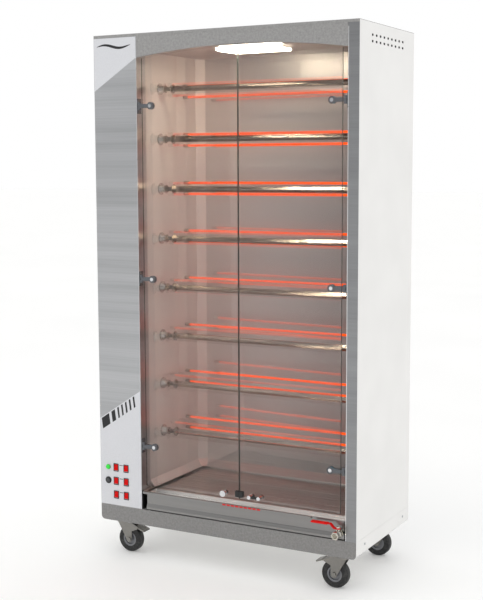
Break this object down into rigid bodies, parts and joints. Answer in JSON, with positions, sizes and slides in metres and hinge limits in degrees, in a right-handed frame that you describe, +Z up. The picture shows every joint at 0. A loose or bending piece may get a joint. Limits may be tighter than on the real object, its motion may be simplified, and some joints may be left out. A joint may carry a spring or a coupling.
{
  "type": "rotisserie oven",
  "caption": "Tall free-standing electric rotisserie oven with chained horizontal spits, rod heaters, glass doors, a side control column, drip tray and castors.",
  "frame": {"origin": "on the floor, under the middle of the whole object's box", "axes": "+X to the user's right, +Y from the doors to the back, +Z up"},
  "size_m": [1.0532, 0.57, 1.938],
  "materials": {
    "grey_enamel": "satin",
    "light_fascia": "satin",
    "side_white": "satin",
    "brushed_frame": "brushed",
    "galvanised": "satin",
    "chamber_stainless": "brushed",
    "tray_stainless": "brushed",
    "heater_glow": "satin",
    "lamp_diffuser": "satin",
    "bearing_bronze": "satin",
    "chain_steel": "oiled",
    "motor_grey": "satin",
    "hinge_dark": "satin",
    "black_plastic": "satin",
    "zinc": "zinc plated",
    "door_glass": "polished",
    "fitting_chrome": "polished",
    "valve_nickel": "satin",
    "red_grip": "gloss",
    "red_rocker": "gloss",
    "button_grey": "satin",
    "spit_stainless": "polished",
    "spindle_steel": "turned",
    "castor_rubber": "matt"
  },
  "bodies": {
    "cabinet": {"base_frame": "side_white", "front_band": "grey_enamel", "top_panel": "grey_enamel", "header_fascia": "grey_enamel", "column_fascia": "light_fascia", "right_pillar": "brushed_frame", "side_panel_left": "side_white", "side_panel_right": "side_white", "back_panel": "galvanised", "cavity_liner": "chamber_stainless", "heating_elements": "heater_glow", "ceiling_lamp": "lamp_diffuser", "spit_bearings": "bearing_bronze", "drive_chains": "chain_steel", "gearmotor": "motor_grey", "door_hardware": "hinge_dark", "switch_bezels": "black_plastic", "electrics": "black_plastic", "castor_plates": "zinc", "fasteners": "zinc"},
    "spit_1": {"spit_1": "spit_stainless", "drive_spindle_1": "spindle_steel"},
    "spit_2": {"spit_2": "spit_stainless", "drive_spindle_2": "spindle_steel"},
    "spit_3": {"spit_3": "spit_stainless", "drive_spindle_3": "spindle_steel"},
    "spit_4": {"spit_4": "spit_stainless", "drive_spindle_4": "spindle_steel"},
    "spit_5": {"spit_5": "spit_stainless", "drive_spindle_5": "spindle_steel"},
    "spit_6": {"spit_6": "spit_stainless", "drive_spindle_6": "spindle_steel"},
    "spit_7": {"spit_7": "spit_stainless", "drive_spindle_7": "spindle_steel"},
    "spit_8": {"spit_8": "spit_stainless", "drive_spindle_8": "spindle_steel"},
    "door_left": {"door_glass_left": "door_glass", "door_fittings_left": "fitting_chrome"},
    "door_right": {"door_glass_right": "door_glass", "door_fittings_right": "fitting_chrome"},
    "tray": {"drip_tray": "tray_stainless", "drain_valve": "valve_nickel"},
    "valve_lever": {"valve_lever": "red_grip"},
    "rocker_1": {"rocker_1": "red_rocker"},
    "rocker_2": {"rocker_2": "red_rocker"},
    "rocker_3": {"rocker_3": "red_rocker"},
    "rocker_4": {"rocker_4": "red_rocker"},
    "rocker_5": {"rocker_5": "red_rocker"},
    "rocker_6": {"rocker_6": "red_rocker"},
    "push_button": {"push_button": "button_grey"},
    "fork_front_left": {"castor_fork_front_left": "zinc"},
    "wheel_front_left": {"castor_wheel_front_left": "castor_rubber"},
    "pedal_front_left": {"brake_pedal_front_left": "black_plastic"},
    "fork_front_right": {"castor_fork_front_right": "zinc"},
    "wheel_front_right": {"castor_wheel_front_right": "castor_rubber"},
    "pedal_front_right": {"brake_pedal_front_right": "black_plastic"},
    "fork_rear_left": {"castor_fork_rear_left": "zinc"},
    "wheel_rear_left": {"castor_wheel_rear_left": "castor_rubber"},
    "fork_rear_right": {"castor_fork_rear_right": "zinc"},
    "wheel_rear_right": {"castor_wheel_rear_right": "castor_rubber"}
  },
  "joints": [
    {"name": "spit_1_spin", "type": "hinge", "parent": "cabinet", "child": "spit_1", "pos_m": [-0.341, -0.082, 0.46], "axis": [1, 0, 0], "continuous": true},
    {"name": "spit_2_spin", "type": "hinge", "parent": "cabinet", "child": "spit_2", "pos_m": [-0.341, -0.082, 0.644], "axis": [1, 0, 0], "continuous": true},
    {"name": "spit_3_spin", "type": "hinge", "parent": "cabinet", "child": "spit_3", "pos_m": [-0.341, -0.082, 0.828], "axis": [1, 0, 0], "continuous": true},
    {"name": "spit_4_spin", "type": "hinge", "parent": "cabinet", "child": "spit_4", "pos_m": [-0.341, -0.082, 1.012], "axis": [1, 0, 0], "continuous": true},
    {"name": "spit_5_spin", "type": "hinge", "parent": "cabinet", "child": "spit_5", "pos_m": [-0.341, -0.082, 1.196], "axis": [1, 0, 0], "continuous": true},
    {"name": "spit_6_spin", "type": "hinge", "parent": "cabinet", "child": "spit_6", "pos_m": [-0.341, -0.082, 1.38], "axis": [1, 0, 0], "continuous": true},
    {"name": "spit_7_spin", "type": "hinge", "parent": "cabinet", "child": "spit_7", "pos_m": [-0.341, -0.082, 1.564], "axis": [1, 0, 0], "continuous": true},
    {"name": "spit_8_spin", "type": "hinge", "parent": "cabinet", "child": "spit_8", "pos_m": [-0.341, -0.082, 1.748], "axis": [1, 0, 0], "continuous": true},
    {"name": "door_left_hinge", "type": "hinge", "parent": "cabinet", "child": "door_left", "pos_m": [-0.331, -0.234, 0.46], "axis": [0, 0, -1], "range_deg": [0, 110]},
    {"name": "door_right_hinge", "type": "hinge", "parent": "cabinet", "child": "door_right", "pos_m": [0.475, -0.234, 0.46], "axis": [0, 0, 1], "range_deg": [0, 110]},
    {"name": "tray_slide", "type": "slide", "parent": "cabinet", "child": "tray", "axis": [0, -1, 0], "range_m": [0, 0.4]},
    {"name": "drain_lever_turn", "type": "hinge", "parent": "tray", "child": "valve_lever", "pos_m": [0.466, -0.258, 0.234], "axis": [0, 0, 1], "range_deg": [0, 90]},
    {"name": "rocker_1_tilt", "type": "hinge", "parent": "cabinet", "child": "rocker_1", "pos_m": [-0.455, -0.235, 0.335], "axis": [1, 0, 0], "range_deg": [0, 16]},
    {"name": "rocker_2_tilt", "type": "hinge", "parent": "cabinet", "child": "rocker_2", "pos_m": [-0.41, -0.235, 0.335], "axis": [1, 0, 0], "range_deg": [0, 16]},
    {"name": "rocker_3_tilt", "type": "hinge", "parent": "cabinet", "child": "rocker_3", "pos_m": [-0.455, -0.235, 0.283], "axis": [1, 0, 0], "range_deg": [0, 16]},
    {"name": "rocker_4_tilt", "type": "hinge", "parent": "cabinet", "child": "rocker_4", "pos_m": [-0.41, -0.235, 0.283], "axis": [1, 0, 0], "range_deg": [0, 16]},
    {"name": "rocker_5_tilt", "type": "hinge", "parent": "cabinet", "child": "rocker_5", "pos_m": [-0.455, -0.235, 0.23], "axis": [1, 0, 0], "range_deg": [0, 16]},
    {"name": "rocker_6_tilt", "type": "hinge", "parent": "cabinet", "child": "rocker_6", "pos_m": [-0.41, -0.235, 0.23], "axis": [1, 0, 0], "range_deg": [0, 16]},
    {"name": "push_button_press", "type": "slide", "parent": "cabinet", "child": "push_button", "axis": [0, 1, 0], "range_m": [0, 0.003], "stiffness_N_per_m": 300},
    {"name": "castor_swivel_front_left", "type": "hinge", "parent": "cabinet", "child": "fork_front_left", "pos_m": [-0.457, -0.182, 0.118], "axis": [0, 0, 1], "continuous": true},
    {"name": "castor_roll_front_left", "type": "hinge", "parent": "fork_front_left", "child": "wheel_front_left", "pos_m": [-0.427, -0.182, 0.05], "axis": [0, 1, 0], "continuous": true},
    {"name": "brake_pedal_lift_front_left", "type": "hinge", "parent": "fork_front_left", "child": "pedal_front_left", "pos_m": [-0.395, -0.182, 0.098], "axis": [0, -1, 0], "range_deg": [0, 20]},
    {"name": "castor_swivel_front_right", "type": "hinge", "parent": "cabinet", "child": "fork_front_right", "pos_m": [0.457, -0.182, 0.118], "axis": [0, 0, 1], "continuous": true},
    {"name": "castor_roll_front_right", "type": "hinge", "parent": "fork_front_right", "child": "wheel_front_right", "pos_m": [0.427, -0.182, 0.05], "axis": [0, 1, 0], "continuous": true},
    {"name": "brake_pedal_lift_front_right", "type": "hinge", "parent": "fork_front_right", "child": "pedal_front_right", "pos_m": [0.395, -0.182, 0.098], "axis": [0, 1, 0], "range_deg": [0, 20]},
    {"name": "castor_swivel_rear_left", "type": "hinge", "parent": "cabinet", "child": "fork_rear_left", "pos_m": [-0.457, 0.211, 0.118], "axis": [0, 0, 1], "continuous": true},
    {"name": "castor_roll_rear_left", "type": "hinge", "parent": "fork_rear_left", "child": "wheel_rear_left", "pos_m": [-0.427, 0.211, 0.05], "axis": [0, 1, 0], "continuous": true},
    {"name": "castor_swivel_rear_right", "type": "hinge", "parent": "cabinet", "child": "fork_rear_right", "pos_m": [0.457, 0.211, 0.118], "axis": [0, 0, 1], "continuous": true},
    {"name": "castor_roll_rear_right", "type": "hinge", "parent": "fork_rear_right", "child": "wheel_rear_right", "pos_m": [0.427, 0.211, 0.05], "axis": [0, 1, 0], "continuous": true}
  ],
  "couplings": [
    {"joint": "spit_2_spin", "follows": "spit_1_spin", "ratio": 1},
    {"joint": "spit_3_spin", "follows": "spit_1_spin", "ratio": 1},
    {"joint": "spit_4_spin", "follows": "spit_1_spin", "ratio": 1},
    {"joint": "spit_5_spin", "follows": "spit_1_spin", "ratio": 1},
    {"joint": "spit_6_spin", "follows": "spit_1_spin", "ratio": 1},
    {"joint": "spit_7_spin", "follows": "spit_1_spin", "ratio": 1},
    {"joint": "spit_8_spin", "follows": "spit_1_spin", "ratio": 1}
  ]
}
